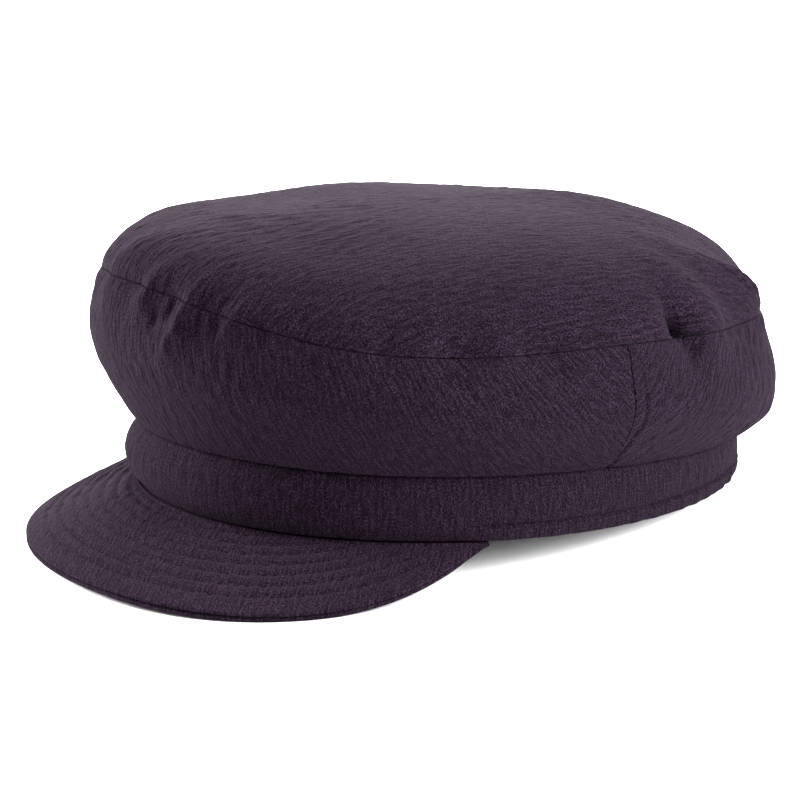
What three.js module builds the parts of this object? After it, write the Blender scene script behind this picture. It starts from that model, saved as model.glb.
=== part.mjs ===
// A soft fisherman's cap of crinkled crepe cloth, as it stands on a table by itself: a full, round-edged crown made of
// a top and two side pieces, a plain band, and a short peak of two layers that props up the front.
// Millimetres, +Z up, with the front of the cap towards -Y. The origin is on the table, under the middle of the cap.
// Every piece is worked out upright, round the middle of the band's lower edge, and the cap is then tilted back until
// it stands on its peak and the back of its band, where its edges press a little flat.
import * as THREE from "three";

// Band
const bandLength = 206; // outside, front to back
const bandWidth = 167; // outside, side to side
const bandHeight = 20;
const bandWall = 2.4; // two layers of cloth
const bandBelly = 1.6; // how far the band swells out between its edges

// Crown
const crownHeight = 86.5; // the middle of the top above the band's lower edge
const crownWall = 1.6;
const rimHeight = 58; // the seam between the top and the sides, above the band's lower edge
const rimOverhang = 8; // how far that seam stands out past the band
const sideRise = 30; // how far the side cloth keeps its first slope above the band
const sideSeamTurn = 88; // degrees round from the middle of the front to either side seam
const rimRise = 17; // how far the cloth keeps its slope below the rim seam, and nearly as far above it
const topFlat = 0.72; // the share of the top's radius at which it has become level
const foldHeight = 3.6; // how far the fullest fold stands out

// Peak
const peakLength = 39; // along the cloth, at the middle of the front
const peakSpread = 66; // degrees round from the middle of the front to either end
const peakDroop = 22; // degrees below level, at the middle of the front
const peakEndDroop = 34; // degrees below level, towards the ends
const peakFullness = 3.2; // the greater, the longer the peak keeps its length before its ends
const peakTaper = 1.3; // the greater, the finer its ends run out
const peakUpperWall = 1.2;
const peakLowerWall = 1.5; // the under cloth and its stiffening
const peakLip = 0.7; // how far the under cloth shows past the upper one
const peakTuck = 2; // how far the peak runs in under the band

const seamGap = 0.3; // clear space between pieces that are sewn together
const restPress = 0.5; // how far the edges that the cap stands on give way

// The crown round its outline, a row for each section, going round from the front by the wearer's left side.
// band, belly, rim, out and rise are shares of bandHeight, bandBelly, rimHeight, rimOverhang and sideRise. leave is
// the slope of the cloth where it leaves the band, leaning outwards, and arrive its slope at the rim seam, leaning in.
const crownSections = [
  { at: 0, band: 0.98, belly: 1.9, rim: 1.19, out: 1.5, rise: 1.1, leave: 56, arrive: 75 },
  { at: 45, band: 0.98, belly: 0.9, rim: 1.0, out: 1.1, rise: 1.05, leave: 53, arrive: 75 },
  { at: 90, band: 0.91, belly: 0.5, rim: 0.99, out: 0.6, rise: 0.95, leave: 50, arrive: 75 },
  { at: 135, band: 0.68, belly: 0.5, rim: 0.93, out: 0.6, rise: 0.85, leave: 40, arrive: 75 },
  { at: 180, band: 0.66, belly: 0.5, rim: 0.93, out: 0.6, rise: 0.82, leave: 44, arrive: 75 },
  { at: 225, band: 0.75, belly: 0.8, rim: 0.9, out: 0.7, rise: 0.85, leave: 46, arrive: 75 },
  { at: 270, band: 0.84, belly: 1.2, rim: 0.95, out: 0.95, rise: 0.95, leave: 50, arrive: 75 },
  { at: 315, band: 0.8, belly: 2.2, rim: 1.07, out: 1.45, rise: 1.05, leave: 53, arrive: 75 },
];

// The crown's folds, puckers and dents. at and level say where: at in degrees round from the front, and level 0 at
// the band, 1 at the rim seam and 2 at the middle of the top. width is in degrees and length in levels, lean is
// degrees round for each level up, and lift is a share of foldHeight: above 0 for a fold, below 0 for a dent.
const crownFolds = [
  { at: 101, level: 1.06, width: 3.6, length: 0.12, lean: 0, lift: -0.7 },
  { at: 100.5, level: 1.05, width: 4.5, length: 0.34, lean: -2, lift: -0.35 },
  { at: 109.5, level: 1.05, width: 4.5, length: 0.34, lean: 4, lift: 0.55 },
  { at: 118.5, level: 1.12, width: 4.5, length: 0.3, lean: -8, lift: -0.55 },
  { at: 130, level: 1.18, width: 5, length: 0.3, lean: -12, lift: 0.5 },
  { at: 88, level: 0.9, width: 6, length: 0.3, lean: 0, lift: 0.25 },
  { at: 78, level: 1.0, width: 4.5, length: 0.16, lean: 0, lift: 0.35 },
  { at: 74, level: 0.93, width: 4, length: 0.14, lean: 0, lift: -0.35 },
  { at: 64, level: 1.05, width: 4.5, length: 0.16, lean: 0, lift: 0.35 },
  { at: 58, level: 1.06, width: 4, length: 0.14, lean: 0, lift: -0.4 },
  { at: 39, level: 1.02, width: 5, length: 0.2, lean: 0, lift: 0.3 },
  { at: 33, level: 1.06, width: 4.5, length: 0.2, lean: 0, lift: -0.3 },
  { at: 22, level: 0.95, width: 4.5, length: 0.26, lean: 0, lift: 0.4 },
  { at: 16.5, level: 0.98, width: 4, length: 0.24, lean: 3, lift: -0.65 },
  { at: 11.5, level: 0.88, width: 4, length: 0.42, lean: 10, lift: 0.75 },
  { at: 6, level: 0.97, width: 4, length: 0.3, lean: 10, lift: -0.65 },
  { at: 1, level: 1.05, width: 4, length: 0.3, lean: 14, lift: 0.5 },
  { at: -4.5, level: 1.02, width: 4, length: 0.26, lean: 8, lift: -0.45 },
  { at: -10, level: 1.0, width: 4.5, length: 0.4, lean: 2, lift: 0.6 },
  { at: -19, level: 1.05, width: 5, length: 0.3, lean: 0, lift: -0.35 },
  { at: -42, level: 1.0, width: 6, length: 0.32, lean: 6, lift: 0.45 },
  { at: -52, level: 1.02, width: 5, length: 0.24, lean: 6, lift: -0.4 },
  { at: -83, level: 1.0, width: 6, length: 0.34, lean: -4, lift: 0.45 },
  { at: -93, level: 1.04, width: 5, length: 0.22, lean: -4, lift: -0.5 },
  { at: -128, level: 1.05, width: 7, length: 0.36, lean: 6, lift: 0.5 },
  { at: -141, level: 1.0, width: 6, length: 0.28, lean: 6, lift: -0.45 },
  { at: 152, level: 1.0, width: 6, length: 0.3, lean: -6, lift: -0.4 },
  { at: 167, level: 1.06, width: 7, length: 0.34, lean: 0, lift: 0.5 },
  { at: 186, level: 0.96, width: 6, length: 0.28, lean: 0, lift: -0.4 },
  { at: -76, level: 1.72, width: 28, length: 0.14, lean: 0, lift: 0.45 },
  { at: -150, level: 1.6, width: 24, length: 0.14, lean: 0, lift: -0.3 },
  { at: 178, level: 1.72, width: 30, length: 0.14, lean: 0, lift: 0.35 },
  { at: 20, level: 1.55, width: 26, length: 0.16, lean: 0, lift: -0.3 },
  { at: -41, level: 1.42, width: 15, length: 0.16, lean: 0, lift: 0.5 },
  { at: -46, level: 1.74, width: 22, length: 0.1, lean: 0, lift: -0.3 },
  { at: 140, level: 1.4, width: 13, length: 0.12, lean: 0, lift: -0.35 },
  { at: 141, level: 1.14, width: 9, length: 0.14, lean: 0, lift: 0.35 },
  { at: 133, level: 0.22, width: 16, length: 0.14, lean: 0, lift: 0.5 },
];

// How finely the faces are divided
const crownColumns = 108;
const sideRows = 9;
const topRings = 8;
const bandColumns = 72;
const bandRows = 3;
const peakColumns = 32;
const peakRows = 5;

const crepe = { color: 0x3b3040, roughness: 0.95, metalness: 0 };
const fullTurn = 2 * Math.PI;
const toRadians = THREE.MathUtils.degToRad;
const toDegrees = THREE.MathUtils.radToDeg;

// A point of the band's outline, moved out from it by a distance, at a height. The angle goes round from the front.
function onOutline(angle, out, height) {
  const across = Math.sin(angle);
  const forward = Math.cos(angle);
  const outwards = new THREE.Vector2(across / bandWidth, -forward / bandLength).normalize();
  return new THREE.Vector3(
    (bandWidth / 2) * across + outwards.x * out,
    (-bandLength / 2) * forward + outwards.y * out,
    height,
  );
}

// A column of the sections table at an angle, on a smooth closed curve through its rows.
function sectionAt(column, angle) {
  const count = crownSections.length;
  const place = (((angle / fullTurn) * count) % count) + count;
  const first = Math.floor(place);
  const [before, here, next, after] = [-1, 0, 1, 2].map((k) => crownSections[(first + k) % count][column]);
  const t = place - first;
  const bend = 2 * before - 5 * here + 4 * next - after;
  const turn = 3 * (here - next) + after - before;
  return here + 0.5 * t * (next - before + t * (bend + t * turn));
}

const bandHeightAt = (angle) => bandHeight * sectionAt("band", angle);

// How far the folds lift the crown's cloth at an angle and a level.
function foldLift(angle, level) {
  let lift = 0;
  for (const fold of crownFolds) {
    const ridge = toRadians(fold.at + fold.lean * (level - fold.level));
    const away = toDegrees(Math.acos(THREE.MathUtils.clamp(Math.cos(angle - ridge), -1, 1))) / fold.width;
    const along = (level - fold.level) / fold.length;
    lift += fold.lift * foldHeight * Math.exp(-away * away - along * along);
  }
  return lift;
}

// The crown before its folds: levels 0 to 1 climb the side, and levels 1 to 2 cross the top to its middle.
function onSmoothCrown(angle, level) {
  const arrive = toRadians(sectionAt("arrive", angle));
  const rim = new THREE.Vector2(sectionAt("out", angle) * rimOverhang, sectionAt("rim", angle) * rimHeight);
  const pastRim = new THREE.Vector2(-Math.cos(arrive), Math.sin(arrive)).multiplyScalar(rimRise);
  if (level <= 1) {
    const leave = toRadians(sectionAt("leave", angle));
    const seam = new THREE.Vector2(0, bandHeightAt(angle) + seamGap);
    const rise = sideRise * sectionAt("rise", angle);
    const aboveSeam = new THREE.Vector2(Math.cos(leave), Math.sin(leave)).multiplyScalar(rise).add(seam);
    const spot = new THREE.CubicBezierCurve(seam, aboveSeam, rim.clone().sub(pastRim), rim).getPoint(level);
    return onOutline(angle, spot.x, spot.y);
  }
  const edge = onOutline(angle, rim.x, 0);
  const radius = edge.length();
  const spot = new THREE.CubicBezierCurve(
    new THREE.Vector2(radius, rim.y),
    new THREE.Vector2(radius, rim.y).add(pastRim),
    new THREE.Vector2(radius * topFlat, crownHeight),
    new THREE.Vector2(0, crownHeight),
  ).getPoint(level - 1);
  return edge.multiplyScalar(spot.x / radius).setZ(spot.y);
}

// The direction out of a face that a function gives, from small steps to both sides of a point.
function outOf(faceAt, u, v) {
  const step = 1e-3;
  const alongU = faceAt(u + step, v).sub(faceAt(u - step, v));
  const alongV = faceAt(u, v + step).sub(faceAt(u, v - step));
  return alongU.cross(alongV).normalize();
}

// The crown's outer face, folds and all. At the very middle of the top the folds have died away.
function onCrown(angle, level) {
  const smooth = onSmoothCrown(angle, Math.min(level, 2));
  if (level > 1.99) return smooth;
  return smooth.addScaledVector(outOf(onSmoothCrown, angle, level), foldLift(angle, level));
}

// One closed piece of cloth: a grid over the outer face that faceAt gives, thickened inwards by a wall. A round piece
// joins its last column to its first, and a capped one draws its last row together at one point.
function makeCloth(name, faceAt, us, vs, wall, { round = false, capped = false, upright = false } = {}) {
  const columns = round ? us.length - 1 : us.length;
  const lastRow = vs.length - 1;
  const isPoint = (row) => capped && row === lastRow;
  const positions = [];
  for (const depth of [0, wall]) {
    vs.forEach((v, row) => {
      for (const u of isPoint(row) ? [0] : us.slice(0, columns)) {
        const out = isPoint(row) ? new THREE.Vector3(0, 0, 1) : outOf(faceAt, u, v);
        if (upright) out.setZ(0).normalize();
        positions.push(...faceAt(u, v).addScaledVector(out, -depth));
      }
    });
  }
  const layer = positions.length / 3 / 2;
  const faces = [];
  const corner = (row, column) => row * columns + (isPoint(row) ? 0 : column % columns);
  const addFace = (a, b, c) => faces.push(a, b, c, layer + a, layer + c, layer + b);
  const addEdge = (from, to) => faces.push(to, from, layer + from, to, layer + from, layer + to);
  for (let column = 0; column + 1 < us.length; column++) {
    for (let row = 0; row < lastRow; row++) {
      const [left, right] = [corner(row, column), corner(row, column + 1)];
      const [leftAbove, rightAbove] = [corner(row + 1, column), corner(row + 1, column + 1)];
      addFace(left, right, rightAbove);
      if (!isPoint(row + 1)) addFace(left, rightAbove, leftAbove);
    }
    addEdge(corner(0, column), corner(0, column + 1));
    if (!capped) addEdge(corner(lastRow, column + 1), corner(lastRow, column));
  }
  for (let row = 0; row < lastRow && !round; row++) {
    addEdge(corner(row, columns - 1), corner(row + 1, columns - 1));
    addEdge(corner(row + 1, 0), corner(row, 0));
  }
  const geometry = new THREE.BufferGeometry();
  geometry.setAttribute("position", new THREE.Float32BufferAttribute(positions, 3));
  geometry.setIndex(faces);
  geometry.computeVertexNormals();
  const mesh = new THREE.Mesh(geometry, new THREE.MeshStandardMaterial(crepe));
  mesh.name = name;
  return mesh;
}

// Evenly spaced values from one end to the other, both included.
const spaced = (from, to, steps) => Array.from({ length: steps + 1 }, (_, k) => from + ((to - from) * k) / steps);

// Half of the seam gap, as a share of a level at the rim seam and as an angle at the side seams
const rimSeamHalf = seamGap / 2 / (3 * rimRise);
const sideSeamHalf = seamGap / 2 / (bandWidth / 2);

function makeCrownSide(name, middle, halfTurn) {
  const reach = halfTurn - sideSeamHalf;
  const angles = spaced(middle - reach, middle + reach, crownColumns / 2);
  return makeCloth(name, onCrown, angles, spaced(0, 1 - rimSeamHalf, sideRows), crownWall);
}

function makeCrownTop() {
  const levels = spaced(1 + rimSeamHalf, 2, topRings);
  return makeCloth("crown_top", onCrown, spaced(0, fullTurn, crownColumns), levels, crownWall, {
    round: true,
    capped: true,
  });
}

function makeBand() {
  const onBand = (angle, share) => {
    const belly = bandBelly * sectionAt("belly", angle) * Math.sin(Math.PI * share);
    return onOutline(angle, belly, bandHeightAt(angle) * share);
  };
  return makeCloth("band", onBand, spaced(0, fullTurn, bandColumns), spaced(0, 1, bandRows), bandWall, {
    round: true,
    upright: true,
  });
}

// The peak's upper face, from its edge (level 0) to the band's edge (level 1) and on under the band (level 2). across
// runs from -1 at one end of the peak to 1 at the other.
function onPeak(across, level, lip = 0) {
  const angle = toRadians(peakSpread) * across;
  const ending = Math.abs(across);
  const length = peakLength * Math.max(0, 1 - ending ** peakFullness) ** peakTaper + lip;
  if (level >= 1) return onOutline(angle, -peakTuck * (level - 1), -seamGap);
  // The cloth leaves the band at three quarters of its droop and bends down evenly to five quarters at its edge.
  const droop = toRadians(THREE.MathUtils.lerp(peakDroop, peakEndDroop, ending * ending));
  const along = length * (1 - level);
  const first = 0.75 * droop;
  const bend = (0.5 * droop) / Math.max(length, seamGap);
  const slope = first + bend * along;
  const out = (Math.sin(slope) - Math.sin(first)) / bend;
  const down = (Math.cos(first) - Math.cos(slope)) / bend;
  return onOutline(angle, out, -seamGap - down);
}

// The same face moved in from the one above it by a depth.
const sunk = (faceAt, depth) => (u, v) => faceAt(u, v).addScaledVector(outOf(faceAt, u, v), -depth);

function makePeak() {
  const acrosses = spaced(-1, 1, peakColumns);
  const levels = [...spaced(0, 1, peakRows), 2];
  const onLowerPeak = sunk((across, level) => onPeak(across, level, peakLip), peakUpperWall + seamGap);
  return [
    makeCloth("peak_upper", onPeak, acrosses, levels, peakUpperWall),
    makeCloth("peak_lower", onLowerPeak, acrosses, levels, peakLowerWall),
  ];
}

// How far the cap tilts back to stand on the lowest part of its peak and the back of its band.
function restingTilt(peak) {
  const points = peak.geometry.getAttribute("position");
  let tilt = 0;
  for (let k = 0; k < points.count; k++) {
    tilt = Math.max(tilt, Math.atan2(-points.getZ(k), bandLength / 2 - points.getY(k)));
  }
  return tilt;
}

// Presses flat, on the table, what lies below it once the cap has its place.
function pressFlat(mesh, placed) {
  const points = mesh.geometry.getAttribute("position");
  const back = placed.clone().invert();
  for (let k = 0; k < points.count; k++) {
    const point = new THREE.Vector3().fromBufferAttribute(points, k).applyMatrix4(placed);
    if (point.z >= 0) continue;
    point.setZ(0).applyMatrix4(back);
    points.setXYZ(k, ...point);
  }
}

const cap = new THREE.Group();
const frontTurn = toRadians(sideSeamTurn);
const [peakUpper, peakLower] = makePeak();
cap.add(
  makeCrownTop(),
  makeCrownSide("crown_side_front", 0, frontTurn),
  makeCrownSide("crown_side_back", fullTurn / 2, fullTurn / 2 - frontTurn),
  makeBand(),
  peakUpper,
  peakLower,
);

const tilt = restingTilt(peakLower);
cap.rotation.x = -tilt;
cap.position.z = (bandLength / 2) * Math.sin(tilt) - restPress;
cap.updateMatrix();
for (const mesh of cap.children) pressFlat(mesh, cap.matrix);
const middle = new THREE.Box3().setFromObject(cap, true).getCenter(new THREE.Vector3());
cap.position.x = -middle.x;
cap.position.y = -middle.y;

export default cap;
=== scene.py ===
"""The looks of a soft fisherman's cap of crinkled crepe cloth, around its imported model.

The cloth pieces repeat the model's own forms far more finely, with the folds, puckers, seams and
quilting that the cloth shows. Metres, +Z up, with the front of the cap towards -Y. Every piece is
worked out upright, round the middle of the band's lower edge, and is then tilted back to stand on
its peak and the back of its band.
"""

import math
from collections import namedtuple

import bmesh
import bpy
import numpy as np
from mathutils import Matrix, Vector


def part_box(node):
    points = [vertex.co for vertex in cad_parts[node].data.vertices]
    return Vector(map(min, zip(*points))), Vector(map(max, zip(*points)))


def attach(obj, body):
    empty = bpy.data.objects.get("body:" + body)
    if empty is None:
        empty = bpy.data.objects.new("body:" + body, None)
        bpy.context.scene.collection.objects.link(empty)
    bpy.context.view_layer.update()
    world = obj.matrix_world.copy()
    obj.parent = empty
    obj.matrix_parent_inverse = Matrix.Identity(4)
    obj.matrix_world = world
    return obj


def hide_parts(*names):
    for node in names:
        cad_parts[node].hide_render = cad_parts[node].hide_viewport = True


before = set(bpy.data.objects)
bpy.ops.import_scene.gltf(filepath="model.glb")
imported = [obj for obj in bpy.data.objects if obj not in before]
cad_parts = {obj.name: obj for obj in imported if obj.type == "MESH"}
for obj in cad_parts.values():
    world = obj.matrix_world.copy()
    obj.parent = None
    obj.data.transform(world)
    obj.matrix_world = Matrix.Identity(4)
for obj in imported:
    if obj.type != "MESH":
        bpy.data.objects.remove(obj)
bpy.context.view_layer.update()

# Band
BAND_LENGTH = 0.206
BAND_WIDTH = 0.167
BAND_HEIGHT = 0.020
BAND_WALL = 0.0024
BAND_BELLY = 0.0016

# Crown
CROWN_HEIGHT = 0.0865
CROWN_WALL = 0.0016
RIM_HEIGHT = 0.058
RIM_OVERHANG = 0.008
SIDE_RISE = 0.030  # the handle of the side's curve at the band
RIM_RISE = 0.017  # the handles of the side's and the top's curves at the rim seam
BASE_LEVEL = 3 * SIDE_RISE  # the length of cloth to one level, beside the band
RIM_LEVEL = 3 * RIM_RISE  # the same beside the rim seam
SIDE_SEAM_TURN = 88  # degrees round from the middle of the front to either side seam
TOP_FLAT = 0.72  # how far out the top's curve is level, as a share of its radius
TOP_MIDDLE = 1.99  # the level past which the top has no folds
FOLD_HEIGHT = 0.0036

# Peak
PEAK_LENGTH = 0.039
PEAK_SPREAD = 66  # degrees round from the front to either end
PEAK_DROOP = 22  # degrees, at the front
PEAK_END_DROOP = 34
PEAK_FIRST_DROOP = 0.75  # the share of its droop that the peak has at the band
PEAK_MORE_DROOP = 0.5  # the share that it gains from there to its edge
PEAK_FULLNESS = 3.2  # how full the peak's outline is, as a power
PEAK_TAPER = 1.3
PEAK_UPPER_WALL = 0.0012
PEAK_LOWER_WALL = 0.0015
PEAK_LIP = 0.0007  # how far the under cloth shows past the upper one
PEAK_END_WALL = 0.35  # how thick the cloths are at the peak's ends, as a share of their walls
PEAK_END_REACH = 0.12  # how far from the ends they thin, as a share of half the peak
PEAK_TUCK = 0.0027  # how far the cloths go on under the band
PEAK_TURN_IN = 0.0006  # how far the upper cloth's allowance goes on behind the band
PEAK_TURN_UP = 0.0014
UPPER_TUCK_LEVELS = (1.5, 2, 2.5, 3)
LOWER_TUCK_LEVELS = (1.5, 2)

# Edges
SEAM_GAP = 0.0003  # between the band and the peak below it
SEWN_GAP = 0.00025  # what shows between two cloth edges that are sewn together
SEWN_LAP = 0.0002  # how far their inner sides run past each other, which keeps the seam closed
BAND_LAP = 0.0012  # how far the band's inner side runs up behind the crown
LAYER_GAP = 0.00035  # between the peak's two cloths
REST_PRESS = 0.0005  # how much of the cap's lowest edges the table presses flat
CROWN_ROLL = 0.00025  # how far the edges of a cloth are rounded
BAND_ROLL = 0.0008
PEAK_ROLL = 0.0005
ROLL_LIMIT = 0.45  # the share of its wall that a rounded edge takes at most
WELD_REACH = 1e-6

# The crown round its outline, a row for each section, going round from the front by the wearer's
# left side. band, belly, rim, out and rise are shares of the sizes above. leave and arrive are the
# cloth's slopes in degrees.
SECTION_COLUMNS = ("at", "band", "belly", "rim", "out", "rise", "leave", "arrive")
CROWN_SECTIONS = (
    (0, 0.98, 1.9, 1.19, 1.5, 1.1, 56, 75),
    (45, 0.98, 0.9, 1.0, 1.1, 1.05, 53, 75),
    (90, 0.91, 0.5, 0.99, 0.6, 0.95, 50, 75),
    (135, 0.68, 0.5, 0.93, 0.6, 0.85, 40, 75),
    (180, 0.66, 0.5, 0.93, 0.6, 0.82, 44, 75),
    (225, 0.75, 0.8, 0.9, 0.7, 0.85, 46, 75),
    (270, 0.84, 1.2, 0.95, 0.95, 0.95, 50, 75),
    (315, 0.8, 2.2, 1.07, 1.45, 1.05, 53, 75),
)
SECTIONS = dict(zip(SECTION_COLUMNS, np.array(CROWN_SECTIONS).T))

# The crown's folds and dents. at and width are degrees, level and length levels, lean degrees for
# each level up, and lift a share of FOLD_HEIGHT: above 0 for a fold, below 0 for a dent.
Fold = namedtuple("Fold", "at level width length lean lift")
CROWN_FOLDS = (
    (102.4, 1.06, 3.4, 0.12, -4, -0.65),
    (101.6, 1.05, 4.5, 0.34, -2, -0.35),
    (110.5, 1.05, 4.5, 0.3, 4, 0.42),
    (119, 1.12, 4.5, 0.3, -8, -0.36),
    (130, 1.18, 5, 0.3, -12, 0.5),
    (88, 0.9, 6, 0.3, 0, 0.25),
    (78, 1.0, 4.5, 0.16, 0, 0.35),
    (74, 0.93, 4, 0.14, 0, -0.35),
    (64, 1.05, 4.5, 0.16, 0, 0.35),
    (58, 1.06, 4, 0.14, 0, -0.4),
    (39, 1.02, 5, 0.2, 0, 0.3),
    (33, 1.06, 4.5, 0.2, 0, -0.3),
    (21, 0.97, 3.2, 0.18, 5, 0.2),
    (16.5, 0.98, 3.6, 0.2, 3, -0.22),
    (11, 0.82, 2.6, 0.26, 8, 0.38),
    (6, 0.93, 3, 0.2, 8, -0.22),
    (1, 0.98, 3, 0.2, 8, 0.28),
    (-4.5, 1.0, 4, 0.2, 8, -0.2),
    (-10, 1.0, 4.5, 0.32, 2, 0.48),
    (-19, 1.05, 5, 0.3, 0, -0.35),
    (-42, 1.0, 6, 0.32, 6, 0.45),
    (-52, 1.02, 5, 0.24, 6, -0.4),
    (-83, 1.0, 6, 0.34, -4, 0.45),
    (-93, 1.04, 5, 0.22, -4, -0.5),
    (-128, 1.05, 7, 0.36, 6, 0.5),
    (-141, 1.0, 6, 0.28, 6, -0.45),
    (152, 1.0, 6, 0.3, -6, -0.4),
    (167, 1.06, 7, 0.34, 0, 0.5),
    (186, 0.96, 6, 0.28, 0, -0.4),
    (-76, 1.72, 28, 0.14, 0, 0.45),
    (-150, 1.6, 24, 0.14, 0, -0.3),
    (178, 1.72, 30, 0.14, 0, 0.35),
    (20, 1.55, 26, 0.16, 0, -0.3),
    (-41, 1.42, 15, 0.16, 0, 0.5),
    (-46, 1.74, 22, 0.1, 0, -0.3),
    (140, 1.4, 13, 0.12, 0, -0.35),
    (141, 1.14, 9, 0.14, 0, 0.35),
    (133, 0.22, 16, 0.14, 0, 0.5),
)

# Sharper creases that only the cloth's own surface shows, in the same columns
CREASES = (
    (102.4, 1.06, 1.3, 0.06, -8, -1.6),
    (102.1, 1.075, 0.9, 0.035, -8, -1.9),
    (101.2, 1.17, 1.7, 0.1, -8, -0.45),
    (104.2, 0.93, 1.9, 0.11, 8, -0.6),
    (106.5, 1.08, 2.0, 0.2, 6, 0.15),
    (11.2, 0.97, 0.9, 0.17, 8, 0.3),
    (9.2, 0.72, 1.0, 0.16, 10, 0.22),
    (7.8, 0.93, 0.8, 0.09, 4, -0.36),
    (4.8, 0.84, 0.8, 0.12, 3, -0.26),
    (1.8, 0.95, 0.9, 0.15, 6, 0.26),
    (14.2, 0.9, 0.9, 0.08, 0, -0.3),
    (16.2, 0.94, 0.8, 0.08, 4, 0.14),
    (18.0, 0.92, 0.8, 0.07, 0, -0.36),
    (20.3, 0.98, 0.9, 0.12, 12, 0.3),
    (23.2, 0.93, 0.9, 0.07, 0, -0.16),
    (26.5, 0.94, 1.0, 0.06, 0, -0.22),
    (15, 1.07, 0.9, 0.06, 10, -0.22),
    (18.4, 1.08, 0.9, 0.07, 12, -0.22),
    (6.3, 1.08, 0.9, 0.08, 8, -0.2),
    (-0.5, 1.08, 1.4, 0.2, 10, -0.24),
    (-6, 1.0, 1.3, 0.24, 4, 0.2),
    (25.5, 1.0, 1.4, 0.13, 0, -0.18),
    (46, 1.03, 1.6, 0.12, 0, -0.14),
    (52, 0.97, 1.6, 0.12, 0, 0.14),
    (69, 1.02, 1.6, 0.1, 0, -0.16),
    (84, 1.0, 1.6, 0.1, 0, 0.14),
    (130, 1.25, 1.1, 0.16, -10, 0.34),
    (133.5, 1.22, 1.2, 0.16, -10, -0.34),
    (137, 1.2, 1.1, 0.14, -6, 0.34),
    (144, 1.18, 3.5, 0.14, 0, -0.25),
)

# Seams, puckers and ripples
SEAM_SINK = 0.0004  # how far the cloth draws in along the rim seam
SEAM_REACH = 0.0022
SIDE_SEAM_SINK = 0.00016
SIDE_SEAM_REACH = 0.00154
PUCKER_LIFT = 0.00022
PUCKER_REACH = 0.007
PUCKER_WAVES = (34, 47, 61, 83)  # puckers round the rim
WAVE_SWELL = 0.45  # how much the puckers grow and shrink round the crown
SWELLS = 3
RIM_ALLOWANCE = 0.0066  # how wide the folded cloth behind the rim seam is
RIM_ALLOWANCE_EDGE = 0.0007
RIM_ALLOWANCE_LIFT = 0.00028
STRIP_WIDTH = 0.0042  # from a side seam to the line behind it
STRIP_FULL_LEVEL = 0.35  # the level from which the strip between them has its full width
STRIP_LEAST = 0.25  # the share of its width that it keeps at the band
STRIP_END = 0.75  # the level where the line begins to fade
STRIP_FADE = 0.15
STRIP_SINK = 0.0005  # how far the strip is drawn in along the line
STRIP_EDGE = 0.0004
LINE_SINK = 0.0003
LINE_REACH = 0.0005
BASE_SINK = 0.0007  # how far the crown and the band draw in towards the seam between them
BASE_REACH = 0.0020
BASE_WAVES = (29, 43, 58)
BASE_UNEVEN = 0.4  # how much that changes round the crown
FRONT_SINK = 0.0010  # how far the band's lower edge draws in over the peak
FRONT_REACH = 0.0024
HEM_LIFT = 0.0007  # how far the hem stands out below its row of stitches
HEM_PUCKER = 0.0003
HEM_START = 60  # degrees round from the front, where the hem comes out from behind the peak
HEM_FADE = 7
RIPPLE_LIFT = 0.00009
RIPPLE_WAVES = 26
RIPPLE_ACROSS = (0.0036, 0.0075)  # shortest and longest ripple across the grain
RIPPLE_ALONG = (0.009, 0.03)
RIPPLE_CALM = 0.002  # how close to a cloth edge the ripples fade
UPPER_RIPPLES = 0.8  # how strong they are on the peak's cloths
LOWER_RIPPLES = 0.4
SIDE_SWEEP = 0.16  # the radius on which a side panel was cut, which turns its grain
PEAK_GRAIN_TURN = 38  # degrees from front-to-back towards the wearer's right

# The crepe of each piece: its colour (on the peak lightened with painted light), how far apart its
# ribs lie, and how high ribs and pebbles stand
Crepe = namedtuple("Crepe", "name colour rib_pitch rib_depth pebble_depth pebble_size")
CREPES = (
    Crepe("top_crepe", (0.0084, 0.0036, 0.0103, 1.0), 0.0026, 0.00042, 0.00024, 0.0005),
    Crepe("crown_crepe", (0.0078, 0.0032, 0.0097, 1.0), 0.0021, 0.00042, 0.00024, 0.00045),
    Crepe("band_crepe", (0.0082, 0.0036, 0.0096, 1.0), 0.0020, 0.00024, 0.00024, 0.00045),
    # The peak's colour is painted light: lighter than the same cloth on the crown and band, for the
    # light that falls on the peak
    Crepe("peak_crepe", (0.0124, 0.0056, 0.0140, 1.0), 0.0015, 0.00022, 0.00026, 0.00045),
)
RIB_LENGTH = 0.0036
RIB_WANDER = 13.0  # how far, in radians, the ribs wander from even lines
RIB_WANDER_SIZE = (0.0035, 0.011)  # across and along the grain
RIB_SHARE = 0.6  # how much of a rib's height is its even wave
RIB_BASE = 0.2
STRAND_WIDTH = 0.5  # as a share of the distance between ribs
STRAND_CONTRAST = 2.0
PEBBLE_STRETCH = 1.3
PEBBLE_ROUGHNESS = 0.75
PEBBLE_CONTRAST = 4.5
PEBBLE_BASE = 0.4
SPECK_WANDER = 2.0  # how far, in radians, the pebbles push the ribs aside
SPECK_HIGHLIGHT_COLOUR = (0.0104, 0.0078, 0.0103, 1.0)  # painted highlight: a lighter, greyer colour that the pebbles' crests are mixed towards
SPECK_HIGHLIGHT_SHARE = 0.7
PATCH_SIZE = (0.02, 0.03)
RIB_PAINTED_SHADE_AND_LIGHT = (0.6, 1.34)  # painted shade and light: how dark the cloth's colour is made in the ribs' hollows and how bright on their crests
# Painted highlights on the pebbles: how dark the cloth's colour is made between them and how bright on
# their crests
PEBBLE_PAINTED_LIGHT = (0.38, 1.93)
PATCH_SHADES = (0.86, 1.14)
CREPE_ROUGHNESS = 0.95
SHEEN = 0.023
SHEEN_ROUGHNESS = 0.25
SHEEN_TINT = (0.96, 0.68, 1.0, 1.0)
GLOSS = 0.023

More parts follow.
